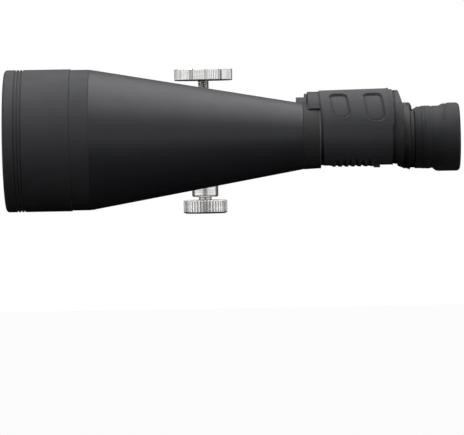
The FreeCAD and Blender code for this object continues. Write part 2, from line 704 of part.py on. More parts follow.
def focus_wheel_hub():
    web_x0, web_x1, recess_r = 258.6, TAIL_X1 + 0.4, 8.6
    rim, bevel = WHEEL_HUB_R, 0.6
    return turned([
        (WHEEL_X0, TAIL_R + FIT), (WHEEL_X0, rim - bevel), (WHEEL_X0 + bevel, rim),
        (WHEEL_X1 - bevel, rim), (WHEEL_X1, rim - bevel), (WHEEL_X1, SPINDLE_R + FIT),
        (web_x1, SPINDLE_R + FIT), (web_x1, recess_r), (web_x0, recess_r),
        (web_x0, TAIL_R + FIT)], HINGE)


def focus_grip():
    """Grooved band around the wheel hub."""
    groove_count = 24
    grip = cylinder(WHEEL_X0 + 1.2, WHEEL_X1 - 1.2, WHEEL_R, HINGE).cut(
        cylinder(WHEEL_X0, WHEEL_X1, WHEEL_HUB_R + FIT, HINGE))
    rim_z = HINGE_Z + WHEEL_R
    for i in range(groove_count):
        groove = box(WHEEL_X0, WHEEL_X1, -0.8, 0.8, rim_z - 0.7, rim_z + 2)
        groove.rotate(Vector(0, *HINGE), AXIS_X, 360.0 / groove_count * i)
        grip = grip.cut(groove)
    return merged(grip)


def wheel_clip():
    """Ring in the tail's groove, open at the bottom."""
    return merged(tube(*CLIP_X, 7.9, CLIP_GROOVE_R + FIT, HINGE).cut(
        box(259.0, 261.0, -2.2, 2.2, HINGE_Z - 9.0, HINGE_Z)))


def focus_spindle():
    flange_x, step_x, end_x, bore_r = 272.6, 274.0, 279.85, 1.25
    return merged(turned([
        (232.0, 0.0), (232.0, 3.4), (232.6, SPINDLE_R), (flange_x, SPINDLE_R),
        (flange_x, 6.4), (step_x, 6.4), (step_x, SPINDLE_TIP_R), (end_x, SPINDLE_TIP_R),
        (end_x, bore_r), (step_x, bore_r), (step_x, 0.0)], HINGE))


def spindle_screw():
    """Domed, slotted screw in the rear end of the spindle."""
    head_x = 279.9
    head = turned([(head_x, 0.0), (head_x, BOSS_R), (281.1, BOSS_R), (282.3, BOSS_R - 0.9),
                   (283.0, BOSS_R - 2.6), (283.4, BOSS_R - 5.0), (283.5, 0.0)], HINGE)
    screw = cylinder(274.2, head_x, 1.2, HINGE).fuse(head)
    return screw.cut(box(282.7, 284.0, -0.5, 0.5, HINGE_Z - 4.5, HINGE_Z + 4.5))


# ------------------------------ tripod adapter ------------------------------

def adapter_bush():
    """Flanged bush on the rod, slit along its right side."""
    x0, x1, inner = BLOCK_X0 - 1.5, BLOCK_X1 + 1.5, ROD_R + 0.04
    bush = tube(x0, x1, BUSH_R, inner, HINGE)
    bush = bush.fuse(tube(x0, BLOCK_X0 - 0.1, BUSH_FLANGE_R, inner, HINGE))
    bush = bush.fuse(tube(BLOCK_X1 + 0.1, x1, BUSH_FLANGE_R, inner, HINGE))
    return bush.cut(box(BLOCK_X0 - 3, BLOCK_X1 + 3, 0.0, 20.0, HINGE_Z - 0.5, HINGE_Z + 0.5))


def adapter_block():
    """Sleeve round the bush, crossed by an upright column with a wider foot."""
    foot_r, foot_z1 = 13.0, 4.0
    block = cylinder(BLOCK_X0, BLOCK_X1, SLEEVE_R, HINGE)
    block = block.fuse(turned_upright([
        (0.0, COLUMN_Z0), (COLUMN_R - 0.8, COLUMN_Z0), (COLUMN_R, COLUMN_Z0 + 0.8),
        (COLUMN_R, COLUMN_Z1 - 1.0), (COLUMN_R - 1.0, COLUMN_Z1), (0.0, COLUMN_Z1)]))
    block = block.fuse(turned_upright([
        (0.0, COLUMN_Z0), (foot_r - 0.6, COLUMN_Z0), (foot_r, COLUMN_Z0 + 0.6),
        (foot_r, foot_z1), (0.0, foot_z1)]))
    block = block.cut(bore(BLOCK_X0, BLOCK_X1, BUSH_R + FIT, HINGE))
    block = block.cut(upright(COLUMN_Z0 - 1, -1.0, POST_R + CLOSE_FIT))
    block = block.cut(upright(PAD_Z0, 27.4, PAD_R + FIT))
    return merged(block.cut(upright(27.0, COLUMN_Z1 + 1, STUD_R + FIT)))


def clamp_pad():
    """Plug under the stud, hollowed to sit on the bush."""
    return merged(upright(PAD_Z0, 25.2, PAD_R).cut(
        cylinder(BLOCK_X0, BLOCK_X1, BUSH_R + 0.04, HINGE)))


def clamp_stud():
    return turned_upright([(0.0, 25.25), (3.2, 25.25), (STUD_R, 26.0), (STUD_R, 46.4),
                           (3.4, 47.0), (0.0, 47.0)])


def clamp_knob():
    bevel = 0.7
    knob = upright(KNOB_Z0, KNOB_Z1, KNOB_R)
    knob = knob.common(turned_upright([
        (0.0, KNOB_Z0), (KNOB_R - bevel, KNOB_Z0), (KNOB_R, KNOB_Z0 + bevel),
        (KNOB_R, KNOB_Z1 - bevel), (KNOB_R - bevel, KNOB_Z1), (0.0, KNOB_Z1)]))
    knob = cut_rim_grooves(knob, KNOB_GROOVES, 0.19, 1.9, KNOB_R + 0.7,
                           KNOB_Z0 - 1, KNOB_Z1 + 1)
    return merged(knob.cut(upright(KNOB_Z0 - 1, 47.1, STUD_R)))


def tripod_post():
    """Post with a narrow bore below and a wider pocket above."""
    top_z, pocket_z0 = -1.05, -26.0
    return turned_upright([
        (POST_BORE_R, POST_Z0), (POST_R - 1.0, POST_Z0), (POST_R - 0.3, POST_Z0 + 0.3),
        (POST_R, POST_Z0 + 1.0), (POST_R, top_z), (POST_POCKET_R, top_z),
        (POST_POCKET_R, pocket_z0), (POST_BORE_R, pocket_z0)])


def thumb_wheel():
    """Fluted wheel with the tripod socket below and a grooved neck above."""
    groove_z0, groove_z1 = -25.95, -24.9
    wheel = turned_upright([
        (0.0, THUMB_Z0), (THUMB_R - 1.2, THUMB_Z0), (THUMB_R - 0.2, THUMB_Z0 + 0.7),
        (THUMB_R, THUMB_Z0 + 1.4), (THUMB_R, THUMB_Z1 - 0.6), (THUMB_R - 0.6, THUMB_Z1),
        (THUMB_NECK_R, THUMB_Z1), (THUMB_NECK_R, groove_z0), (THUMB_GROOVE_R, groove_z0),
        (THUMB_GROOVE_R, groove_z1), (THUMB_NECK_R, groove_z1), (THUMB_NECK_R, -23.4),
        (3.9, -22.9), (0.0, -22.9)])
    wheel = cut_rim_grooves(wheel, THUMB_FLUTES, 0.5, 0.75, THUMB_R + 0.35,
                            THUMB_Z0 - 1, THUMB_Z1 + 0.2)
    return merged(wheel.cut(upright(THUMB_Z0 - 1, THUMB_Z0 + SOCKET_L, SOCKET_R)))


def spindle_clip():
    """Ring in the thumb wheel's neck groove, open to the rear."""
    clip = upright(-25.9, -25.0, 7.0).cut(upright(-27, -22, THUMB_GROOVE_R + FIT))
    return merged(clip.cut(box(X_POST, X_POST + 10, -2.2, 2.2, -27, -22)))


# --------------------------------- assembly ---------------------------------

nodes = {}
for side, choices in SIDES.items():
    for name, shape in half_pieces(*choices).items():
        if side == "left":
            shape = shape.mirror(Vector(0, 0, 0), Vector(0, 1, 0))
        nodes[side + "_" + name] = shape

for side, axis in (("left", LEFT_EYEPIECE), ("right", EYEPIECE)):
    nodes[side + "_eyepiece_lenses"] = eyepiece_lenses(axis)
    nodes[side + "_eye_lens_ring"] = eye_lens_ring(axis)
    nodes[side + "_eyecup"] = eyecup(axis)

# the left ocular is fixed in its arm; the right one slides in its sleeve
nodes["left_eyepiece_tube"] = ocular_tube(TUBE_X0, 11.2, TUBE_R, LEFT_EYEPIECE)
nodes["left_eyepiece_ring"] = eyepiece_ring(CLOSE_FIT, LEFT_EYEPIECE)
nodes["right_ocular_tube"] = ocular_tube(270.0, 9.8, 11.55, EYEPIECE)
nodes["diopter_ring"] = eyepiece_ring(FIT, EYEPIECE)

for build in (right_eyepiece_sleeve, center_rod, rod_front_cap, hinge_washers, rod_collars,
              focus_wheel_hub, focus_grip, wheel_clip, focus_spindle, spindle_screw,
              adapter_bush, adapter_block, clamp_pad, clamp_stud, clamp_knob,
              tripod_post, thumb_wheel, spindle_clip):
    nodes[build.__name__] = build()

for name in ("adapter_bush",):
    nodes[name] = merged(nodes[name]) if False else nodes[name]

os.makedirs("parts", exist_ok=True)
for name in sorted(nodes):
    shape = nodes[name].copy()
    shape.translate(Vector(-X_POST, 0, Z_ORIGIN))
    shape.exportStep("parts/" + name + ".step")
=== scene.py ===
"""Prism binoculars held by a tripod adapter.

The front rims face -x and the eyecups lie towards +x. The left half is on the -y side and
z is up. Design sizes are millimetres: a station is a distance behind the front rims, a height
is measured from the axes of the objectives.
"""
import math
from itertools import takewhile

import bmesh
import bpy
from mathutils import Matrix, Vector

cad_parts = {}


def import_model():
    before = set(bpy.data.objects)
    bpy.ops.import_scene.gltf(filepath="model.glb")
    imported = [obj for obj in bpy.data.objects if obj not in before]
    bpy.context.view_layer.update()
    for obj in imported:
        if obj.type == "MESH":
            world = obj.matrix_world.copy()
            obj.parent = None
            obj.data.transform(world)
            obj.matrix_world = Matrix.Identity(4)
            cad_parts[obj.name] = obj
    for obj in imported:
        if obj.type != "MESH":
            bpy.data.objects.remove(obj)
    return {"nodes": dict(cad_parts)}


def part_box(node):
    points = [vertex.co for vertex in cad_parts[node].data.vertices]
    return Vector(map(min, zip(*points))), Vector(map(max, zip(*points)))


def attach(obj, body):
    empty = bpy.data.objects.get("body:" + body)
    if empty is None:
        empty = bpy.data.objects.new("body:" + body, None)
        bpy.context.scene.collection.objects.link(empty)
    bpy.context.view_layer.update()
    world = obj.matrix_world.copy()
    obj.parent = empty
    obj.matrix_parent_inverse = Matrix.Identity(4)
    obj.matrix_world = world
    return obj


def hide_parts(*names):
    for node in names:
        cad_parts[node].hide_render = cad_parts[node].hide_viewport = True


MM = 0.001
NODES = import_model()["nodes"]
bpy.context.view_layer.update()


# ---------------------------------------------------------------------------
# places read from the loaded pieces, in metres
# ---------------------------------------------------------------------------
def middle(node):
    low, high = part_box(node)
    return (low + high) / 2.0


HOOD_LOW, HOOD_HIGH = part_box("left_objective_hood")
FRONT_X = HOOD_LOW.x
AXIS_Z = (HOOD_LOW.z + HOOD_HIGH.z) / 2.0
OBJECTIVE_Y = abs((HOOD_LOW.y + HOOD_HIGH.y) / 2.0)
EYECUP = middle("left_eyecup")
EYE_Y, EYE_Z = abs(EYECUP.y), EYECUP.z
HINGE_Z = middle("center_rod").z
POST_X = middle("tripod_post").x

# outer radii of the adapter's two turned wheels, mm
KNOB_RADIUS = 20.5
WHEEL_RADIUS = 15.5


def at_x(station):
    return FRONT_X + station * MM


def at_z(height):
    return AXIS_Z + height * MM


# ---------------------------------------------------------------------------
# shader graphs
# ---------------------------------------------------------------------------
class Graph:
    """A node tree built from nothing."""

    def __init__(self, owner, output_kind):
        owner.use_nodes = True
        self.tree = owner.node_tree
        self.tree.nodes.clear()
        self.output = self.node(output_kind)

    def node(self, kind, **settings):
        node = self.tree.nodes.new(kind)
        for key, value in settings.items():
            setattr(node, key, value)
        return node

    def feed(self, socket, value):
        """Links another socket, or sets a plain value; colours are given as RGB."""
        if isinstance(value, bpy.types.NodeSocket):
            self.tree.links.new(value, socket)
        elif socket.type == "RGBA":
            socket.default_value = (*value, 1)
        else:
            socket.default_value = value

    def fill(self, kind, inputs, **settings):
        """A node with its inputs fed by name or number."""
        node = self.node(kind, **settings)
        for key, value in inputs.items():
            self.feed(node.inputs[key], value)
        return node

    def math(self, operation, *values, clamp=False):
        inputs = dict(enumerate(values))
        return self.fill("ShaderNodeMath", inputs, operation=operation, use_clamp=clamp).outputs[0]

    def separate(self, vector):
        return self.fill("ShaderNodeSeparateXYZ", {0: vector}).outputs

    def remap(self, value, source, target=(0.0, 1.0)):
        inputs = dict(enumerate((value, *source, *target)))
        return self.fill("ShaderNodeMapRange", inputs).outputs[0]

    def ramp(self, factor, stops):
        node = self.fill("ShaderNodeValToRGB", {"Fac": factor})
        elements = node.color_ramp.elements
        while len(elements) > 1:
            elements.remove(elements[-1])
        elements[0].position = stops[0][0]
        elements[0].color = (*stops[0][1], 1)
        for position, colour in stops[1:]:
            elements.new(position).color = (*colour, 1)
        return node.outputs["Color"]

    def camera_switch(self, lighting, seen):
        """Sends one shader to the camera and another to all other rays."""
        rays = self.node("ShaderNodeLightPath")
        inputs = {0: rays.outputs["Is Camera Ray"], 1: lighting, 2: seen}
        mixed = self.fill("ShaderNodeMixShader", inputs)
        self.feed(self.output.inputs[0], mixed.outputs[0])


class Surface(Graph):
    """A material around one principled shader, textured in object space."""

    def __init__(self, name):
        self.material = bpy.data.materials.new(name)
        super().__init__(self.material, "ShaderNodeOutputMaterial")
        self.shader = self.node("ShaderNodeBsdfPrincipled")
        self.feed(self.output.inputs[0], self.shader.outputs[0])
        self.coords = self.node("ShaderNodeTexCoord").outputs["Object"]

    def put(self, name, value):
        self.feed(self.shader.inputs[name], value)

    def noise(self, scale, detail=3.0, roughness=0.55, vector=None):
        inputs = {"Scale": scale, "Detail": detail, "Roughness": roughness,
                  "Vector": vector or self.coords}
        return self.fill("ShaderNodeTexNoise", inputs).outputs["Fac"]

    def voronoi(self, scale, randomness=1.0):
        inputs = {"Scale": scale, "Randomness": randomness, "Vector": self.coords}
        return self.fill("ShaderNodeTexVoronoi", inputs).outputs["Distance"]

    def mix(self, factor, base, over):
        inputs = {0: factor, 6: base, 7: over}
        return self.fill("ShaderNodeMix", inputs, data_type="RGBA").outputs[2]

    def bump(self, height, strength, distance, under=None):
        inputs = {"Strength": strength, "Distance": distance, "Height": height}
        if under is not None:
            inputs["Normal"] = under
        return self.fill("ShaderNodeBump", inputs).outputs[0]

    def edges(self, radius, gain=6.0):
        """1 on convex and concave edges, 0 on open surfaces."""
        bevel = self.fill("ShaderNodeBevel", {"Radius": radius}, samples=4)
        geometry = self.node("ShaderNodeNewGeometry")
        inputs = {0: bevel.outputs[0], 1: geometry.outputs["Normal"]}
        dot = self.fill("ShaderNodeVectorMath", inputs, operation="DOT_PRODUCT")
        bend = self.math("SUBTRACT", 1.0, dot.outputs["Value"])
        return self.math("MULTIPLY", bend, gain, clamp=True)


# ---------------------------------------------------------------------------
# material families; texture scales are per metre, bump distances in metres
# ---------------------------------------------------------------------------
def paint(name, dark, light, *, rough, grain, grain_strength, specular,
          edge_brightening=(0.10, 0.10, 0.105), wear_and_highlight_amount=0.35):
    """Lacquer or powder coat: colour drift, fine orange peel, lightened edges that are partly
    rubbed wear and partly a painted highlight.
    """
    m = Surface(name)
    drift = m.noise(scale=40.0, detail=4.0, roughness=0.6)
    colour = m.ramp(drift, [(0.3, dark), (0.7, light)])
    # edges lightened in patches: rubbed wear, and with a high amount also a painted highlight
    # along the bevels
    edge = m.edges(radius=0.0005)
    patches = m.remap(m.noise(scale=420.0), source=(0.42, 0.62))
    wear_and_highlight = m.math("MULTIPLY", m.math("MULTIPLY", edge, patches), wear_and_highlight_amount)
    m.put("Base Color", m.mix(wear_and_highlight, colour, edge_brightening))
    mottle = m.noise(scale=120.0, detail=5.0, roughness=0.6)
    m.put("Roughness", m.remap(mottle, source=(0.3, 0.7), target=(rough - 0.04, rough + 0.04)))
    m.put("Specular IOR Level", specular)
    fine = m.noise(scale=grain, detail=2.0, roughness=0.5)
    peel = m.noise(scale=grain * 0.35, detail=3.0, roughness=0.6)
    under = m.bump(fine, strength=grain_strength, distance=0.00003)
    m.put("Normal", m.bump(peel, strength=grain_strength * 0.5, distance=0.00006, under=under))
    return m.material


def rubber(name, dark, light, *, cell, strength, specular, stipple_top=None):
    """Moulded rubber: pebble grain, bloom and slight dust in patches."""
    m = Surface(name)
    drift = m.noise(scale=55.0, detail=5.0, roughness=0.65)
    colour = m.ramp(drift, [(0.3, dark), (0.7, light)])
    dust = m.remap(m.noise(scale=900.0, detail=4.0, roughness=0.7), source=(0.55, 0.8))
    m.put("Base Color", m.mix(m.math("MULTIPLY", dust, 0.10), colour, (0.09, 0.088, 0.085)))
    pebble = m.voronoi(scale=cell)
    mottle = m.noise(scale=140.0, detail=4.0, roughness=0.6)
    m.put("Roughness", m.remap(mottle, source=(0.3, 0.7), target=(0.55, 0.66)))
    m.put("Specular IOR Level", specular)
    m.put("Sheen Weight", 0.08)
    m.put("Sheen Roughness", 0.5)
    fine = m.noise(scale=cell * 1.8, detail=2.0)
    under = m.bump(pebble, strength=strength, distance=0.00006)
    normal = m.bump(fine, strength=strength * 0.4, distance=0.00003, under=under)
    if stipple_top is not None:
        # a coarser moulded stipple fades in below this height
        height = m.separate(m.coords)["Z"]
        fade = m.remap(height, source=(stipple_top, stipple_top - 0.006))
        stipple = m.math("MULTIPLY", m.voronoi(scale=760.0, randomness=0.7), fade)
        normal = m.bump(stipple, strength=0.55, distance=0.00022, under=normal)
    m.put("Normal", normal)
    return m.material


# noise scales along x, y and z for the fine lines of metal()
LINES_UPRIGHT = (60.0, 60.0, 2400.0)
LINES_ALONG = (2400.0, 60.0, 60.0)
LINES_NONE = (500.0, 500.0, 500.0)


def metal(name, dark, light, *, lines=LINES_UPRIGHT, rough=0.26, strength=0.22, edge_brightening=0.3,
          valley=None):
    """Plated steel: lathe lines, faint stains, bright edges, painted shade in the valleys.

    valley is (inner radius mm, outer radius mm, amount) of painted shade about the adapter's post.
    """
    m = Surface(name)
    stretched = m.fill("ShaderNodeMapping", {"Scale": lines, "Vector": m.coords}).outputs[0]
    turning = m.noise(scale=1.0, detail=2.0, roughness=0.5, vector=stretched)
    stain = m.noise(scale=90.0, detail=5.0, roughness=0.65)
    colour = m.ramp(stain, [(0.32, dark), (0.68, light)])
    edge = m.edges(radius=0.00035)
    if valley:
        inner, outer, amount = valley
        place = m.separate(m.coords)
        across = m.math("SUBTRACT", place["X"], POST_X)
        squares = m.math("ADD", m.math("MULTIPLY", across, across),
                         m.math("MULTIPLY", place["Y"], place["Y"]))
        radius = m.math("SQRT", squares)
        # only upright faces darken
        facing = m.separate(m.node("ShaderNodeNewGeometry").outputs["Normal"])
        flank = m.remap(m.math("ABSOLUTE", facing["Z"]), source=(0.35, 0.6), target=(1.0, 0.0))
        depth = m.remap(radius, source=(inner * MM, outer * MM), target=(1.0, 0.0))
        # painted shade: upright faces deep in the valleys are pulled towards dark grey
        valley_shade = m.math("MULTIPLY", m.math("MULTIPLY", depth, flank), amount)
        colour = m.mix(valley_shade, colour, (0.16, 0.155, 0.15))
    m.put("Base Color", m.mix(m.math("MULTIPLY", edge, edge_brightening), colour, (0.93, 0.92, 0.9)))
    m.put("Metallic", 1.0)
    line_rough = m.remap(turning, source=(0.3, 0.7), target=(rough - 0.05, rough + 0.05))
    stain_rough = m.remap(stain, source=(0.35, 0.7), target=(0.0, 0.06))
    m.put("Roughness", m.math("ADD", line_rough, stain_rough))
    under = m.bump(m.noise(scale=700.0, detail=2.0), strength=0.05, distance=0.000006)
    m.put("Normal", m.bump(turning, strength=strength, distance=0.000004, under=under))
    return m.material


def glass(name, tint, film):
    """Slightly hazed glass with a coating of the given thickness in nanometres."""
    m = Surface(name)
    haze = m.noise(scale=150.0, detail=4.0, roughness=0.6)
    veil = m.remap(haze, source=(0.4, 0.7), target=(0.0, 0.05))
    m.put("Base Color", m.mix(veil, tint, (0.6, 0.62, 0.6)))
    m.put("Transmission Weight", 1.0)
    m.put("IOR", 1.52)
    m.put("Roughness", m.remap(haze, source=(0.45, 0.8), target=(0.0, 0.03)))
    m.put("Thin Film Thickness", film)
    m.put("Thin Film IOR", 1.38)
    return m.material


# each family takes the darker and the lighter end of its colour drift
MATERIALS = {
    "hood": paint("hood_powder_coat", (0.0445, 0.0455, 0.050), (0.0525, 0.0535, 0.0585),
                  rough=0.62, grain=3200, grain_strength=0.30, specular=0.28),
    "barrel": paint("barrel_lacquer", (0.0315, 0.0323, 0.0378), (0.0372, 0.0382, 0.0445),
                    rough=0.42, grain=2600, grain_strength=0.12, specular=0.42),
    # the collar's lighter edges are partly rubbed wear and partly a painted highlight
    "collar": paint("collar_coat", (0.042, 0.0417, 0.0418), (0.048, 0.0478, 0.0482),
                    rough=0.62, grain=3000, grain_strength=0.3, specular=0.22,
                    edge_brightening=(0.2, 0.2, 0.19), wear_and_highlight_amount=0.75),
    # a lighter coat for the collar's rear lip: a painted highlight
    "lip_highlight": paint("lip_painted_highlight", (0.10, 0.10, 0.098), (0.15, 0.149, 0.145),
                 rough=0.45, grain=2200, grain_strength=0.2, specular=0.5),
    # the casting's lighter edges are partly rubbed wear and partly a painted highlight on its
    # bevels
    "casting": paint("casting_paint", (0.036, 0.0367, 0.0405), (0.044, 0.0448, 0.0495),
                     rough=0.52, grain=1700, grain_strength=0.45, specular=0.3,
                     edge_brightening=(0.17, 0.17, 0.172), wear_and_highlight_amount=0.7),
    "armour": rubber("armour_rubber", (0.056, 0.057, 0.064), (0.067, 0.068, 0.0755),
                     cell=1700, strength=0.35, specular=0.2, stipple_top=AXIS_Z + 0.001),
    "eyecup": rubber("eyecup_rubber", (0.0305, 0.0315, 0.0355), (0.0385, 0.0397, 0.0445),
                     cell=2600, strength=0.22, specular=0.25),
    "grip": rubber("focus_grip_rubber", (0.030, 0.030, 0.031), (0.042, 0.042, 0.043),
                   cell=2200, strength=0.3, specular=0.4),
    "baffle": paint("black_anodise", (0.012, 0.012, 0.013), (0.02, 0.02, 0.021),
                    rough=0.55, grain=4200, grain_strength=0.2, specular=0.3,
                    edge_brightening=(0.3, 0.3, 0.3), wear_and_highlight_amount=0.12),
    "rod": paint("rod_enamel", (0.028, 0.028, 0.030), (0.038, 0.038, 0.040),
                 rough=0.28, grain=2400, grain_strength=0.1, specular=0.6,
                 edge_brightening=(0.35, 0.35, 0.34), wear_and_highlight_amount=0.3),
    "steel": metal("satin_nickel", (0.64, 0.635, 0.625), (0.72, 0.715, 0.705),
                   rough=0.2, strength=0.12),
    # the knob and the wheel carry painted shade in their groove and flute valleys
    "knob": metal("satin_nickel_knob", (0.75, 0.745, 0.74), (0.82, 0.815, 0.81),
                  rough=0.18, strength=0.12, edge_brightening=0.1, valley=(20.25, KNOB_RADIUS, 0.5)),
    "wheel": metal("satin_nickel_wheel", (0.80, 0.79, 0.775), (0.87, 0.86, 0.845),
                   rough=0.2, strength=0.12, edge_brightening=0.1, valley=(14.85, 15.3, 0.62)),
    "steel_x": metal("satin_nickel_shaft", (0.70, 0.69, 0.67), (0.82, 0.81, 0.79),
                     lines=LINES_ALONG),
    "screw": metal("blackened_steel", (0.08, 0.08, 0.085), (0.14, 0.14, 0.145),
                   lines=LINES_NONE, rough=0.36, edge_brightening=0.25),
    "spring": metal("spring_steel", (0.50, 0.49, 0.47), (0.62, 0.61, 0.58),
                    lines=LINES_NONE, rough=0.32),
    "nylon": paint("black_nylon", (0.03, 0.03, 0.03), (0.045, 0.045, 0.045),
                   rough=0.48, grain=1500, grain_strength=0.2, specular=0.4, wear_and_highlight_amount=0.1),
    "lens": glass("coated_glass", tint=(0.97, 0.99, 0.98), film=430.0),
    "prism": glass("prism_glass", tint=(0.97, 0.98, 0.97), film=0.0),
}


# ---------------------------------------------------------------------------
# mesh helpers
# ---------------------------------------------------------------------------
def smooth(t):
    t = max(0.0, min(1.0, t))
    return t * t * (3 - 2 * t)


def swing(start, end):
    """The shorter signed turn between two angles."""
    turn = end - start
    while turn > math.pi:
        turn -= 2 * math.pi
    while turn < -math.pi:
        turn += 2 * math.pi
    return turn


def install(name, mesh, body, material, slot, node):
    piece = bpy.data.objects.new(name, mesh)
    bpy.context.scene.collection.objects.link(piece)
    mesh.materials.append(MATERIALS[material])
    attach(piece, body)
    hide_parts(node)
    return piece


def add_mesh(name, verts, faces, *, body, material, node, slot=None, sharp=38.0):
    mesh = bpy.data.meshes.new(name)
    mesh.from_pydata(verts, [], faces)
    mesh.validate()
    mesh.update()
    bm = bmesh.new()
    bm.from_mesh(mesh)
    bmesh.ops.recalc_face_normals(bm, faces=bm.faces)
    bm.to_mesh(mesh)
    bm.free()
    mesh.polygons.foreach_set("use_smooth", [True] * len(mesh.polygons))
    mesh.set_sharp_from_angle(angle=math.radians(sharp))
    return install(name, mesh, body, material, slot or material, node)


def cad_piece(node, body, material, width, segments=3, reshape=None):
    """A loaded piece's own shape, cleaned up and given broken edges of a width in mm.

    reshape may move single corners.
    """
    name = node + "_cast"
    mesh = NODES[node].data.copy()
    mesh.name = name
    mesh.materials.clear()
    bm = bmesh.new()
    bm.from_mesh(mesh)
    bmesh.ops.remove_doubles(bm, verts=bm.verts, dist=2e-6)
    bmesh.ops.dissolve_limit(bm, angle_limit=math.radians(0.8), verts=bm.verts, edges=bm.edges)
    if reshape:
        for vert in bm.verts:
            vert.co = reshape(vert.co)
    bmesh.ops.recalc_face_normals(bm, faces=bm.faces)
    bm.to_mesh(mesh)
    bm.free()
    mesh.polygons.foreach_set("use_smooth", [True] * len(mesh.polygons))
    piece = install(name, mesh, body, material, material, node)
    bevel = piece.modifiers.new("edge", "BEVEL")
    bevel.width = width * MM
    bevel.segments = segments
    bevel.limit_method = "ANGLE"
    bevel.angle_limit = math.radians(28.0)
    bevel.use_clamp_overlap = True
    bevel.harden_normals = True
    bevel.miter_outer = "MITER_ARC"


def soften(points, segments):
    """Rounds a closed profile of (station, radius, corner radius)."""
    out = []
    for i, (x, y, corner) in enumerate(points):
        if corner <= 0:
            out.append((x, y))
            continue
        before, after = points[i - 1], points[(i + 1) % len(points)]
        back_x, back_y = before[0] - x, before[1] - y
        ahead_x, ahead_y = after[0] - x, after[1] - y
        back, ahead = math.hypot(back_x, back_y), math.hypot(ahead_x, ahead_y)
        if back < 1e-9 or ahead < 1e-9:
            continue
        back_x, back_y = back_x / back, back_y / back
        ahead_x, ahead_y = ahead_x / ahead, ahead_y / ahead
        dot = back_x * ahead_x + back_y * ahead_y
        angle = math.acos(max(-1.0, min(1.0, dot)))
        if angle > math.radians(177):
            out.append((x, y))
            continue
        trim = corner / math.tan(angle / 2)
        limit = 0.46 * min(back, ahead)
        if trim > limit:
            trim = limit
            corner = trim * math.tan(angle / 2)
        half_x, half_y = back_x + ahead_x, back_y + ahead_y
        half = math.hypot(half_x, half_y)
        center_x = x + half_x / half * corner / math.sin(angle / 2)
        center_y = y + half_y / half * corner / math.sin(angle / 2)
        start = math.atan2(y + back_y * trim - center_y, x + back_x * trim - center_x)
        end = math.atan2(y + ahead_y * trim - center_y, x + ahead_x * trim - center_x)
        turn = swing(start, end)
        count = max(2, int(math.ceil(segments * abs(turn) / (math.pi / 2))))
        for j in range(count + 1):
            a = start + turn * j / count
            out.append((center_x + corner * math.cos(a), center_y + corner * math.sin(a)))
    return out


def outline(points, step, near=0.15, segments=4):
    """Rounds a profile, adds support points near its corners and splits long runs."""
    rounded = soften(points, segments)
    out = []
    for i, start in enumerate(rounded):
        end = rounded[(i + 1) % len(rounded)]
        length = math.hypot(end[0] - start[0], end[1] - start[1])
        out.append(start)
        if length > 4 * near:
            count = max(1, int(length / step))
            cuts = [near / length]
            cuts += [j / count for j in range(1, count)
                     if near * 2 < length * j / count < length - near * 2]
            cuts.append(1 - near / length)
            out += [(start[0] + (end[0] - start[0]) * t, start[1] + (end[1] - start[1]) * t)
                    for t in cuts]
    return out


def ring_faces(rings, size, closed=False):
    """Quads between successive rings of vertices, each ring a closed loop."""
    faces = []
    for a in range(rings if closed else rings - 1):
        b = (a + 1) % rings
        for i in range(size):
            j = (i + 1) % size
            faces.append((a * size + i, a * size + j, b * size + j, b * size + i))
    return faces


def plain(station, radius, angle):
    return radius


def revolve(name, profile, steps, radial, place, part):
    """Turns a closed profile; radial(station, radius, angle) may change each radius."""
    verts = []
    for j in range(steps):
        angle = 2 * math.pi * j / steps
        cosine, sine = math.cos(angle), math.sin(angle)
        for station, radius in profile:
            reach = radial(station, radius, angle) * MM
            verts.append(place(station, reach * cosine, reach * sine))
    faces = ring_faces(steps, len(profile), closed=True)
    return add_mesh(name, verts, faces, **part)


def lathe(name, profile, axis, steps, radial=plain, **part):
    """Turns (station, radius) about an axis along x at (y, z); angle 0 is up."""
    y, z = axis

    def place(station, up, across):
        return at_x(station), y + across, z + up

    return revolve(name, profile, steps, radial, place, part)


def lathe_upright(name, profile, steps, radial=plain, **part):
    """Turns (height, radius) about the upright axis of the post; angle 0 is +x."""
    def place(height, along, across):
        return POST_X + along, across, at_z(height)

    return revolve(name, profile, steps, radial, place, part)


def recolour(piece, material, chosen):
    """Gives a second material to the faces whose centres are chosen."""
    piece.data.materials.append(MATERIALS[material])
    for face in piece.data.polygons:
        if chosen(face.center):
            face.material_index = 1


# ---------------------------------------------------------------------------
# rubber armour round the prism housing
# ---------------------------------------------------------------------------
# housing cross-section: y outwards from the middle plane, height, corner radius
SECTION = [
    (15.0, -20.6, 7.0), (89.0, -20.6, 22.0), (89.0, 31.4, 28.0),
    (42.0, 31.4, 8.0), (18.5, 14.0, 5.0), (13.0, 0.0, 6.0),
]
SECTION_STEP = 0.45
ARMOUR_FRONT, ARMOUR_BACK = 216.4, 267.0
ARMOUR_INBOARD = 24.2
ARMOUR_EDGE_RADIUS = 0.75
ARMOUR_INSET = 1.5
OUTER_COLUMNS = 150
INNER_COLUMNS = 8
# thumb rests: station, half length, top height, bottom height
THUMB_RESTS = ((230.2, 6.0, 28.5, 12.6), (253.8, 6.2, 28.2, 9.9))
RIB_START, RIB_PITCH = 226.0, 4.4


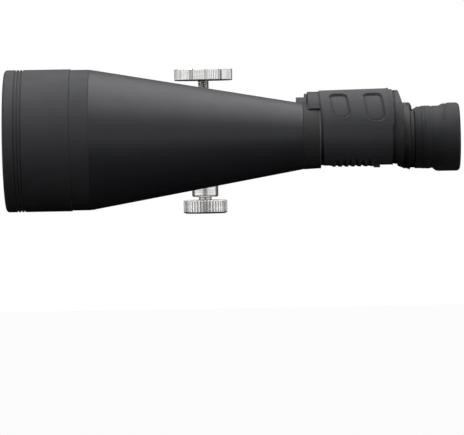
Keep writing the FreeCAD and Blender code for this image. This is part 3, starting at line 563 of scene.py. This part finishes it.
def section_path():
    """Dense closed housing outline as (y, z, normal y, normal z)."""
    count = len(SECTION)
    arcs = []
    for i, (y, z, radius) in enumerate(SECTION):
        corner = Vector((y, z))
        back = (Vector(SECTION[i - 1][:2]) - corner).normalized()
        ahead = (Vector(SECTION[(i + 1) % count][:2]) - corner).normalized()
        angle = math.acos(max(-1, min(1, back.dot(ahead))))
        trim = radius / math.tan(angle / 2)
        center = corner + (back + ahead).normalized() * (radius / math.sin(angle / 2))
        first, last = corner + back * trim, corner + ahead * trim
        start = math.atan2(first.y - center.y, first.x - center.x)
        end = math.atan2(last.y - center.y, last.x - center.x)
        arcs.append((first, last, center, radius, start, swing(start, end)))
    out = []
    for i, (_, last, center, radius, start, turn) in enumerate(arcs):
        steps = max(4, int(abs(turn) * radius / SECTION_STEP))
        for j in range(steps):
            a = start + turn * j / steps
            out.append((center.x + radius * math.cos(a), center.y + radius * math.sin(a),
                        math.cos(a), math.sin(a)))
        run = arcs[(i + 1) % count][0] - last
        along = run.normalized()
        steps = max(1, int(run.length / SECTION_STEP))
        for j in range(steps):
            point = last + along * (run.length * j / steps)
            out.append((point.x, point.y, along.y, -along.x))
    return out


def armour_path():
    """The covered part: from the top inboard edge round the outside to the bottom one."""
    path = section_path()
    upper = (i for i, p in enumerate(path) if p[1] > 15 and p[0] > ARMOUR_INBOARD)
    start = min(upper, key=lambda i: path[i][0])
    return list(takewhile(lambda p: p[0] >= ARMOUR_INBOARD, path[start::-1]))


def rounded_distance(u, v, half_u, half_v, corner):
    """Signed distance to a rounded rectangle."""
    over_u, over_v = abs(u) - half_u + corner, abs(v) - half_v + corner
    outside = math.hypot(max(over_u, 0.0), max(over_v, 0.0))
    return outside + min(max(over_u, over_v), 0.0) - corner


def thumb_rest_rise(x, length, rest):
    center_x, half_x, center_length, half_length = rest
    down = length - center_length
    corner = 3.6 if down < 0 else 4.8
    gap = rounded_distance(x - center_x - 0.12 * down, down, half_x, half_length, corner)
    rise = -1.3 * smooth((-gap + 0.35) / 0.7)
    # a fine groove at the foot of the wall, and a soft raised border
    rise -= 0.28 * math.exp(-((gap + 0.55) / 0.35) ** 2)
    return rise + 0.2 * math.exp(-((gap - 0.6) / 0.45) ** 2)


def rib_rise(x, z, end_gap):
    """Ribs across the underside, fading out at their ends."""
    depth = smooth((-z - 15.5) / 3.0)
    fade = smooth((x - 224.6) / 1.2) * smooth((254.0 - x) / 1.2) * smooth((end_gap - 1.0) / 3.0)
    wave = 0.5 + 0.5 * math.cos(2 * math.pi * (x - RIB_START) / RIB_PITCH)
    return depth * fade * (1.5 * smooth(wave * 1.35 - 0.15) - 0.55)


def armour_rise(x, z, length, end_gap, front, back, rests):
    """Height of the skin over the housing outline, mm."""
    rise = 0.0
    edge = min(x - front, back - x, end_gap)
    radius = ARMOUR_EDGE_RADIUS
    if edge < radius:
        rise -= radius - math.sqrt(max(0.0, radius ** 2 - (radius - edge) ** 2))
    # the skin swells towards the rear, then steps down along a slanted line
    rise += 0.85 * (x - front) / 48.0 * smooth((z + 4.0) / 20.0)
    step_x = 264.0 + 3.4 * smooth((31.0 - z) / 21.0)
    rise += 0.30 * math.exp(-((x - step_x + 0.6) / 0.7) ** 2)
    rise -= 0.75 * smooth((x - step_x) / 0.55)
    for rest in rests:
        rise += thumb_rest_rise(x, length, rest)
    if z < -14.0:
        rise += rib_rise(x, z, end_gap)
    return rise


def armour(side, outward):
    path = armour_path()
    lengths = [0.0]
    for here, after in zip(path, path[1:]):
        lengths.append(lengths[-1] + math.hypot(after[0] - here[0], after[1] - here[1]))

    def length_at(height):
        """Arc length at a height on the upper outboard slope."""
        return next(t for t, p in zip(lengths, path) if p[0] > 50.0 and p[1] < height)

    rests = []
    for center, half, top, bottom in THUMB_RESTS:
        start, end = length_at(top), length_at(bottom)
        rests.append((center, half, (start + end) / 2.0, (end - start) / 2.0))

    verts = []
    for length, (y, z, normal_y, normal_z) in zip(lengths, path):
        end_gap = min(length, lengths[-1] - length)
        # the front seam runs back a little down the side
        front = ARMOUR_FRONT - 0.3 + 2.4 * smooth((31.0 - z) / 24.0)
        back = ARMOUR_BACK - 1.2 * smooth((9.0 - z) / 6.0) * smooth((y - 60.0) / 10.0)
        row = []
        for j in range(OUTER_COLUMNS + 1):
            x = front + (back - front) * j / OUTER_COLUMNS
            row.append((x, armour_rise(x, z, length, end_gap, front, back, rests)))
        for j in range(INNER_COLUMNS):
            part = 1 - (j + 0.5) / INNER_COLUMNS
            row.append((front + 0.25 + (back - front - 0.5) * part, -ARMOUR_INSET))
        verts += [(at_x(x), outward * (y + normal_y * rise) * MM, at_z(z + normal_z * rise))
                  for x, rise in row]
    size = OUTER_COLUMNS + 1 + INNER_COLUMNS
    faces = ring_faces(len(path), size)
    faces.append(tuple(range(size)))
    faces.append(tuple(range((len(path) - 1) * size, len(path) * size))[::-1])
    add_mesh(side + "_armour", verts, faces, body=side + "_half", material="armour",
             node=side + "_housing_armour", sharp=50.0)


# ---------------------------------------------------------------------------
# objective tubes; profile points are (station, radius, corner radius)
# ---------------------------------------------------------------------------
HOOD_RADIUS = 49.0
HOOD_GROOVES = (7.9, 10.2, 12.4)
GROOVE_DEPTH = 1.0
CONE_START, CONE_RADIUS, CONE_SLOPE = 58.3, 48.48, 0.1754
BARREL_WALL = 2.3
BARREL_END = 205.0


def hood_profile():
    points = [(0.0, 46.9, 0.5), (0.0, 47.7, 0.9), (1.1, HOOD_RADIUS, 1.3)]
    floor_radius = HOOD_RADIUS - GROOVE_DEPTH
    for groove in HOOD_GROOVES:
        points += [(groove - 0.6, HOOD_RADIUS, 0.12), (groove - 0.38, floor_radius, 0.12),
                   (groove + 0.38, floor_radius, 0.12), (groove + 0.6, HOOD_RADIUS, 0.12)]
    points += [(44.95, HOOD_RADIUS, 0.2), (45.25, 48.7, 0.12), (45.25, 46.5, 0.1),
               (30.6, 46.5, 0.1), (30.6, 45.6, 0.1)]
    # anti-glare thread inside, from the back forwards
    for station in range(29, 4, -1):
        points += [(station, 45.95, 0.05), (station - 0.9, 45.55, 0.05)]
    points += [(3.0, 46.0, 0.3), (1.2, 46.1, 0.6)]
    return outline(points, step=4.0, near=0.12)


def cone_radius(station):
    return CONE_RADIUS - CONE_SLOPE * (station - CONE_START)


def barrel_profile():
    points = [
        (31.0, 45.2, 0.2), (31.0, 46.44, 0.2), (45.3, 46.44, 0.05), (45.3, 48.33, 0.08),
        (45.5, CONE_RADIUS, 0.12), (57.85, CONE_RADIUS, 0.1), (58.1, 48.2, 0.08),
        (58.4, 48.2, 0.08), (58.65, cone_radius(58.65), 0.1),
        (66.0, cone_radius(66.0), 0), (120.0, cone_radius(120.0), 0),
        (170.0, cone_radius(170.0), 0), (204.75, cone_radius(204.75), 0.12),
        (BARREL_END, cone_radius(BARREL_END) - 0.22, 0.1), (BARREL_END, 16.6, 0.05),
        # the rear neck, then forwards along the inside
        (219.2, 16.6, 0.2), (219.2, 14.6, 0.2), (202.5, 14.6, 0.2), (202.5, 20.6, 0.5),
        (150.0, cone_radius(150.0) - BARREL_WALL, 0),
        (62.5, cone_radius(62.5) - BARREL_WALL, 0.5), (60.5, 44.4, 0.3),
    ]
    return outline(points, step=3.0, segments=5)


COLLAR_PROFILE = outline([
    (205.05, 16.7, 0.1), (205.05, 22.62, 0.12), (205.3, 22.86, 0.2), (215.9, 22.3, 0.3),
    (216.25, 22.5, 0.2), (216.9, 22.3, 0.2), (216.9, 16.7, 0.1),
], step=2.5)


def objective_tube(side, y):
    axis = (y, AXIS_Z)
    half = side + "_half"
    hood = lathe(side + "_hood", hood_profile(), axis, steps=256, body=half, material="hood",
                 node=side + "_objective_hood")
    barrel = lathe(side + "_barrel", barrel_profile(), axis, steps=224, body=half,
                   material="barrel", node=side + "_objective_barrel")
    # the straight ring ahead of the cone is finished like the hood
    recolour(barrel, "hood", lambda center: center.x < at_x(58.6))
    collar = lathe(side + "_collar", COLLAR_PROFILE, axis, steps=160, body=half,
                   material="collar", node=side + "_barrel_collar")
    # the collar's rear lip gets a lighter colour as a painted highlight
    recolour(collar, "lip_highlight", lambda center: center.x > at_x(216.2) and math.hypot(
        center.y - y, center.z - AXIS_Z) > 22.0 * MM)
    inside = [NODES[side + "_" + part]
              for part in ("objective_cell", "objective_doublet", "lens_retainer")]
    for piece in [hood, barrel] + inside:
        piece.visible_glossy = False


# ---------------------------------------------------------------------------
# eyepieces
# ---------------------------------------------------------------------------
CUP_RADIUS, CUP_FLARE_RADIUS = 21.85, 23.85
SKIRT_RADIUS = 21.75


def taper_underside(outward, eye_y):
    """Moves corners so the eyepiece ring's underside narrows towards the front."""
    rim_station, rim_radius = 274.1, 22.6
    draw_in = 2.3

    def reshape(co):
        y, z = co.y - eye_y, co.z - EYE_Z
        radius = math.hypot(y, z)
        off_rim = abs(co.x - at_x(rim_station)) > 3e-5 or abs(radius / MM - rim_radius) > 0.12
        if off_rim or z > 0:
            return co
        amount = smooth((-z / radius - 0.2) / 0.55) * smooth((y * outward / MM + 12.0) / 8.0)
        scale = 1.0 - draw_in * MM * amount / radius
        return Vector((co.x, eye_y + y * scale, EYE_Z + z * scale))

    return reshape


def cup_profile():
    # the recess at the front clears the ring over the whole dioptre travel
    points = [
        (283.25, 18.45, 0.08), (283.25, 18.9, 0.2), (285.0, 20.0, 1.5), (287.7, 21.3, 0.3),
        (288.1, 21.9, 0.3), (289.55, 22.0, 0.12), (289.9, 21.65, 0.1), (290.25, 22.0, 0.12),
        (293.4, 22.0, 0.3), (294.2, 21.65, 0.2), (295.3, 21.6, 0.3), (296.1, CUP_RADIUS, 0.3),
    ]
    # stations for the flare; its radii are set by cup_radial
    for i in range(31):
        station = 297.0 + 0.5 * i
        points.append((station, 22.0 if station < 303 else 23.0, 0))
    points += [
        (312.4, CUP_FLARE_RADIUS, 0), (313.4, 23.5, 0.5), (314.35, 22.6, 0.9),
        (314.6, 21.6, 0.6), (313.2, 20.7, 0.6), (309.6, 19.9, 1.0), (307.2, 18.6, 0.8),
        (306.35, 16.9, 0.4), (306.35, 13.6, 0.3), (306.1, 13.6, 0), (306.1, 17.15, 0),
        (285.3, 17.15, 0.1), (285.3, 18.45, 0.1),
    ]
    return outline(points, step=1.2, near=0.1)


def cup_radial(side):
    def radial(station, radius, angle):
        if station < 288.2 and radius > 18.6:
            # the front skirt tapers at the top and runs straight underneath
            if radius >= SKIRT_RADIUS:
                return radius
            return radius + (SKIRT_RADIUS - radius) * (0.5 - 0.5 * math.cos(angle))
        if radius < 20.9 or station > 313.0 or station < 296.0:
            return radius
        # the flare starts on a slanted line
        if side == "left":
            start = 298.35 + 3.95 * math.cos(angle)
        else:
            start = 300.6 + 1.8 * math.cos(angle) + 3.0 * math.sin(angle)
        return CUP_RADIUS + (CUP_FLARE_RADIUS - CUP_RADIUS) * smooth((station - start) / 4.9)

    return radial


# pieces of each half: name, material, edge width mm, bevel segments
HALF_PIECES = (
    ("prism_housing", "casting", 0.45, 3),
    ("rear_cover", "casting", 0.4, 3),
    ("front_arm", "casting", 0.5, 3),
    ("strap_lug", "armour", 0.4, 3),
    ("screws", "screw", 0.15, 2),
)


def build_side(side, outward, ocular):
    objective_tube(side, outward * OBJECTIVE_Y)
    armour(side, outward)
    for part, material, width, segments in HALF_PIECES:
        cad_piece(side + "_" + part, side + "_half", material, width, segments)
    eye_y = outward * EYE_Y
    cad_piece(side + "_bridge_arm", side + "_eyepiece", "casting", width=0.5,
              reshape=taper_underside(outward, eye_y))
    lathe(side + "_eyecup_shell", cup_profile(), (eye_y, EYE_Z), steps=192,
          radial=cup_radial(side), body=ocular, material="eyecup", node=side + "_eyecup",
          sharp=60.0)


build_side("left", outward=-1.0, ocular="left_eyepiece")
build_side("right", outward=1.0, ocular="right_ocular")

# thin ring behind each bridge arm: plain on the left, knurled dioptre ring on the right
RING_PROFILE = outline([
    (279.82, 13.1, 0.05), (279.82, 17.7, 0.3), (280.3, 18.2, 0.3),
    (282.6, 18.2, 0.25), (283.0, 17.7, 0.25), (283.0, 13.1, 0.05),
], step=1.0, near=0.1, segments=3)
RING_DROP = 2.7
RING_NOTCHES, NOTCH_DEPTH = 72, 0.28


def dropped_ring(station, radius, angle):
    """Reaches further out underneath than on top."""
    return radius + RING_DROP * (0.5 - 0.5 * math.cos(angle)) * smooth((radius - 14.0) / 4.0)


def knurled_ring(station, radius, angle):
    if radius > 17.9 and 280.3 < station < 282.7:
        return radius - NOTCH_DEPTH * (0.5 - 0.5 * math.cos(RING_NOTCHES * angle)) ** 0.7
    return radius


lathe("left_ring", RING_PROFILE, (-EYE_Y, EYE_Z), steps=160, radial=dropped_ring,
      body="left_eyepiece", material="collar", node="left_eyepiece_ring")
lathe("right_diopter_ring", RING_PROFILE, (EYE_Y, EYE_Z), steps=720, radial=knurled_ring,
      body="diopter", material="collar", node="diopter_ring")

# ---------------------------------------------------------------------------
# focus wheel grip, sized from the loaded piece
# ---------------------------------------------------------------------------
GRIP_LOW, GRIP_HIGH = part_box("focus_grip")
GRIP_FRONT = (GRIP_LOW.x - FRONT_X) / MM
GRIP_BACK = (GRIP_HIGH.x - FRONT_X) / MM
GRIP_RADIUS = (GRIP_HIGH.y - GRIP_LOW.y) / 2 / MM
GRIP_BORE = 13.3
GRIP_CHAMFER = 0.6
GRIP_RIBS, GRIP_RIB_DEPTH = 36, 0.75


def grip_ribs(station, radius, angle):
    if radius < GRIP_RADIUS - 1.2:
        return radius
    edge = min(station - GRIP_FRONT, GRIP_BACK - station)
    wave = 0.5 + 0.5 * math.cos(GRIP_RIBS * angle)
    return radius - GRIP_RIB_DEPTH * (1 - smooth(wave * 1.8 - 0.3)) * smooth(edge / 0.8)


def focus_grip():
    shoulder = GRIP_RADIUS - GRIP_CHAMFER
    points = [
        (GRIP_FRONT, GRIP_BORE, 0.1), (GRIP_FRONT, shoulder, 0.4),
        (GRIP_FRONT + GRIP_CHAMFER, GRIP_RADIUS, 0.5),
        (GRIP_BACK - GRIP_CHAMFER, GRIP_RADIUS, 0.5),
        (GRIP_BACK, shoulder, 0.4), (GRIP_BACK, GRIP_BORE, 0.1),
    ]
    lathe("focus_wheel_grip", outline(points, step=0.6, near=0.1), (0.0, HINGE_Z), steps=432,
          radial=grip_ribs, body="focus_wheel", material="grip", node="focus_grip")


focus_grip()

# ---------------------------------------------------------------------------
# tripod adapter; upright profile points are (height, radius, corner radius)
# ---------------------------------------------------------------------------
cad_piece("adapter_block", "adapter", "casting", width=0.6)

POST_PROFILE = outline([
    (-41.7, 4.5, 0.1), (-41.7, 8.4, 0.9), (-40.9, 9.25, 0.9), (-1.05, 9.25, 0.2),
    (-1.05, 7.5, 0.1), (-26.0, 7.5, 0.1), (-26.0, 4.5, 0.1),
], step=3.0, segments=5)
lathe_upright("post", POST_PROFILE, steps=128, body="adapter", material="steel",
              node="tripod_post")

STUD_RADIUS = 4.0
KNOB_PROFILE = outline([
    (40.6, 4.02, 0.2), (40.6, 8.0, 0), (40.6, 14.0, 0), (40.6, 17.5, 0), (40.6, 19.9, 0.4),
    (41.05, KNOB_RADIUS, 0.4), (48.3, KNOB_RADIUS, 0.35), (48.7, 20.05, 0.3), (48.7, 17.5, 0),
    (48.7, 14.0, 0), (48.7, 10.5, 0.3), (48.45, 9.9, 0.3), (48.45, 0.02, 0), (47.1, 0.02, 0),
    (47.1, 4.02, 0.1),
], step=0.8, near=0.12)
KNOB_GROOVES = 12
KNOB_PHASE = 0.19
KNOB_GROOVE_HALF, KNOB_GROOVE_DEPTH = 1.95, 1.15
KNURL_COUNT, KNURL_DEPTH = 96, 0.2


def knob_radial(height, radius, angle):
    """Round grooves between lobes with a fine straight knurl."""
    if radius < 12.0:
        return radius
    phase = (angle / (2 * math.pi) * KNOB_GROOVES - KNOB_PHASE) % 1.0
    # distance round the rim from the groove's middle
    away = min(phase, 1 - phase) / KNOB_GROOVES * 2 * math.pi * KNOB_RADIUS
    dip = 0.0
    if away < KNOB_GROOVE_HALF:
        dip = KNOB_GROOVE_DEPTH * math.cos(away / KNOB_GROOVE_HALF * math.pi / 2) ** 1.5
    knurl = (0.5 - 0.5 * math.cos(angle * KNURL_COUNT)) ** 1.6
    lobe = smooth((away - KNOB_GROOVE_HALF - 0.1) / 0.6)
    rim = smooth((radius - 19.9) / 0.4)
    return radius - dip * (radius / KNOB_RADIUS) - KNURL_DEPTH * knurl * lobe * rim


lathe_upright("clamp_knob_turned", KNOB_PROFILE, steps=1152, radial=knob_radial,
              body="clamp_screw", material="knob", slot="steel", node="clamp_knob", sharp=45.0)


def stud():
    """Threaded stud under the clamp knob, with chamfered ends."""
    steps = 72
    bottom, top = 25.25, 46.9
    pitch, root_radius = 1.25, 3.36
    rows = int((top - bottom) / 0.1)
    verts = []
    for i in range(rows + 1):
        height = bottom + (top - bottom) * i / rows
        edge = min(height - bottom, top - height)
        for j in range(steps):
            angle = 2 * math.pi * j / steps
            phase = (height / pitch - j / steps) % 1.0
            off_crest = abs(2 * phase - 1)
            radius = STUD_RADIUS - (STUD_RADIUS - root_radius) * smooth((off_crest - 0.12) / 0.76)
            if edge < 1.0:
                radius = min(radius, STUD_RADIUS - 0.75 + edge * 0.9)
            verts.append((POST_X + radius * MM * math.cos(angle),
                          radius * MM * math.sin(angle), at_z(height)))
    faces = ring_faces(rows + 1, steps)
    faces.append(tuple(range(steps))[::-1])
    faces.append(tuple(range(rows * steps, (rows + 1) * steps)))
    add_mesh("stud_thread", verts, faces, body="clamp_screw", material="steel",
             node="clamp_stud", sharp=60.0)


stud()

WHEEL_FLUTES, FLUTE_DEPTH = 44, 0.75
SOCKET_TOP, SOCKET_RADIUS, SOCKET_PITCH = -44.3, 2.56, 1.27


def wheel_profile():
    points = [
        (-53.3, SOCKET_RADIUS, 0.3), (-53.3, 6.0, 0), (-53.3, 10.0, 0), (-53.3, 13.9, 0.5),
        (-52.9, 14.9, 0.5), (-52.4, WHEEL_RADIUS, 0.4), (-44.4, WHEEL_RADIUS, 0.4),
        (-43.85, 14.9, 0.4), (-43.8, 12.0, 0), (-43.8, 8.0, 0), (-43.8, 4.45, 0.25),
        (-25.95, 4.45, 0.05), (-25.95, 3.5, 0.05), (-24.9, 3.5, 0.05), (-24.9, 4.45, 0.05),
        (-23.4, 4.45, 0.2), (-22.9, 3.9, 0.1), (-22.9, 0.02, 0), (SOCKET_TOP, 0.02, 0),
        (SOCKET_TOP, SOCKET_RADIUS, 0.05),
    ]
    # socket wall with a cut thread
    height = SOCKET_TOP
    while height > -52.4:
        points += [(height - 0.35, 2.6, 0), (height - 0.65, 3.1, 0), (height - 0.95, 2.6, 0)]
        height -= SOCKET_PITCH
    return outline(points, step=0.8, near=0.1)


def wheel_flutes(height, radius, angle):
    if radius < 11.0:
        return radius
    wave = 0.5 + 0.5 * math.cos(WHEEL_FLUTES * angle)
    dip = FLUTE_DEPTH * (1 - smooth(wave * 1.6 - 0.05))
    return radius - dip * smooth((radius - 13.2) / 1.2)


lathe_upright("thumb_wheel_turned", wheel_profile(), steps=800, radial=wheel_flutes,
              body="tripod_wheel", material="wheel", slot="steel", node="thumb_wheel",
              sharp=45.0)

# ---------------------------------------------------------------------------
# loaded pieces that keep their own shapes and only get a finish
# ---------------------------------------------------------------------------
KEPT = {
    "steel_x": ["focus_spindle"],
    "rod": ["center_rod", "rod_front_cap", "rod_collars"],
    "baffle": ["left_objective_cell", "right_objective_cell", "left_lens_retainer",
               "right_lens_retainer", "left_prism_shelf", "right_prism_shelf",
               "left_eye_lens_ring", "right_eye_lens_ring", "left_eyepiece_tube",
               "right_eyepiece_sleeve", "right_ocular_tube", "focus_wheel_hub",
               "spindle_screw"],
    "lens": ["left_objective_doublet", "right_objective_doublet", "left_eyepiece_lenses",
             "right_eyepiece_lenses"],
    "prism": ["left_prisms", "right_prisms"],
    "spring": ["left_prism_clips", "right_prism_clips", "wheel_clip", "spindle_clip"],
    "nylon": ["hinge_washers", "adapter_bush", "clamp_pad"],
}
for material, names in KEPT.items():
    for name in names:
        piece = NODES[name]
        if not piece.data.materials:
            piece.data.materials.append(MATERIALS[material])
        for material_slot in piece.material_slots:
            material_slot.link = "OBJECT"
            material_slot.material = MATERIALS[material]

# ---------------------------------------------------------------------------
# stage, light and camera, in metres
# ---------------------------------------------------------------------------
scene = bpy.context.scene
scene.view_settings.view_transform = "Standard"
scene.view_settings.look = "None"
scene.view_settings.exposure = 0.0
scene.view_settings.gamma = 1.0

FLOOR_HALF, FLOOR_Z = 6, -0.35


def add_floor():
    """Looks pale to the camera but throws almost no light on the object."""
    mesh = bpy.data.meshes.new("floor")
    corners = [(x * FLOOR_HALF, y * FLOOR_HALF, FLOOR_Z)
               for x, y in ((-1, -1), (1, -1), (1, 1), (-1, 1))]
    mesh.from_pydata(corners, [], [(0, 1, 2, 3)])
    floor = bpy.data.objects.new("floor", mesh)
    scene.collection.objects.link(floor)
    material = bpy.data.materials.new("pale_floor")
    graph = Graph(material, "ShaderNodeOutputMaterial")
    glow = graph.fill("ShaderNodeEmission", {"Color": (1.0, 1.0, 1.0), "Strength": 0.97})
    dull = graph.fill("ShaderNodeBsdfDiffuse", {"Color": (0.006, 0.006, 0.006)})
    graph.camera_switch(lighting=dull.outputs[0], seen=glow.outputs[0])
    mesh.materials.append(material)


add_floor()

# brightness against height: 0 is straight down, 0.5 level, 1 straight up
SKY = ((0.0, 0.55), (0.42, 0.48), (0.50, 0.42), (0.56, 0.337), (0.62, 0.153), (0.70, 0.004),
       (0.80, 0.151), (0.90, 0.573), (1.0, 1.0))
SKY_POWER = 3.26
# the low band of light round the horizon: 0 is behind the object, 1 is the camera's side
BAND = ((0.0, 0.06), (0.22, 0.10), (0.36, 0.30), (0.44, 1.18), (0.935, 1.18), (0.968, 0.80),
        (0.988, 0.42), (1.0, 0.36))


def greys(table):
    return [(position, (value,) * 3) for position, value in table]


def add_world():
    """A graded studio for lighting, plain white to the camera."""
    world = bpy.data.worlds.new("studio")
    scene.world = world
    graph = Graph(world, "ShaderNodeOutputWorld")
    calc = graph.math
    way = graph.separate(graph.node("ShaderNodeTexCoord").outputs["Generated"])
    sky = graph.ramp(graph.remap(way["Z"], source=(-1.0, 1.0)), greys(SKY))
    # level part of the direction, kept from zero for the division
    square_y = calc("MAXIMUM", calc("POWER", way["Y"], 2.0), 1e-6)
    level = calc("SQRT", calc("ADD", calc("POWER", way["X"], 2.0), square_y))
    toward = calc("ADD", calc("MULTIPLY", calc("DIVIDE", way["Y"], level), -0.5), 0.5)
    band = graph.ramp(toward, greys(BAND))
    # the band's shape fades out above it
    low = graph.remap(way["Z"], source=(0.35, 0.20))
    shape = calc("ADD", calc("MULTIPLY", low, calc("SUBTRACT", band, 1.0)), 1.0)
    scaled = graph.fill("ShaderNodeVectorMath", {0: sky, "Scale": shape}, operation="SCALE")
    studio = graph.fill("ShaderNodeBackground",
                        {"Color": scaled.outputs[0], "Strength": SKY_POWER})
    white = graph.fill("ShaderNodeBackground", {"Color": (1, 1, 1), "Strength": 1.0})
    graph.camera_switch(lighting=studio.outputs[0], seen=white.outputs[0])


add_world()

CAMERA_STATION = 155.9
CAMERA_DISTANCE = 2.5
CAMERA_ROLL = math.radians(1.0)


def add_camera():
    """Long lens on the left side, level with the objective axes and slightly rolled."""
    data = bpy.data.cameras.new("cam")
    camera = bpy.data.objects.new("cam", data)
    scene.collection.objects.link(camera)
    data.sensor_width = 36.0
    data.lens = 281.3
    data.clip_end = 30.0
    data.shift_y = -0.1724138
    place = Vector((at_x(CAMERA_STATION), -OBJECTIVE_Y - CAMERA_DISTANCE, AXIS_Z))
    # looks along +y, then rolls about its own axis
    camera.matrix_world = (Matrix.Translation(place)
                           @ Matrix.Rotation(math.radians(90), 4, "X")
                           @ Matrix.Rotation(-CAMERA_ROLL, 4, "Z"))
    scene.camera = camera


add_camera()

bpy.context.view_layer.update()
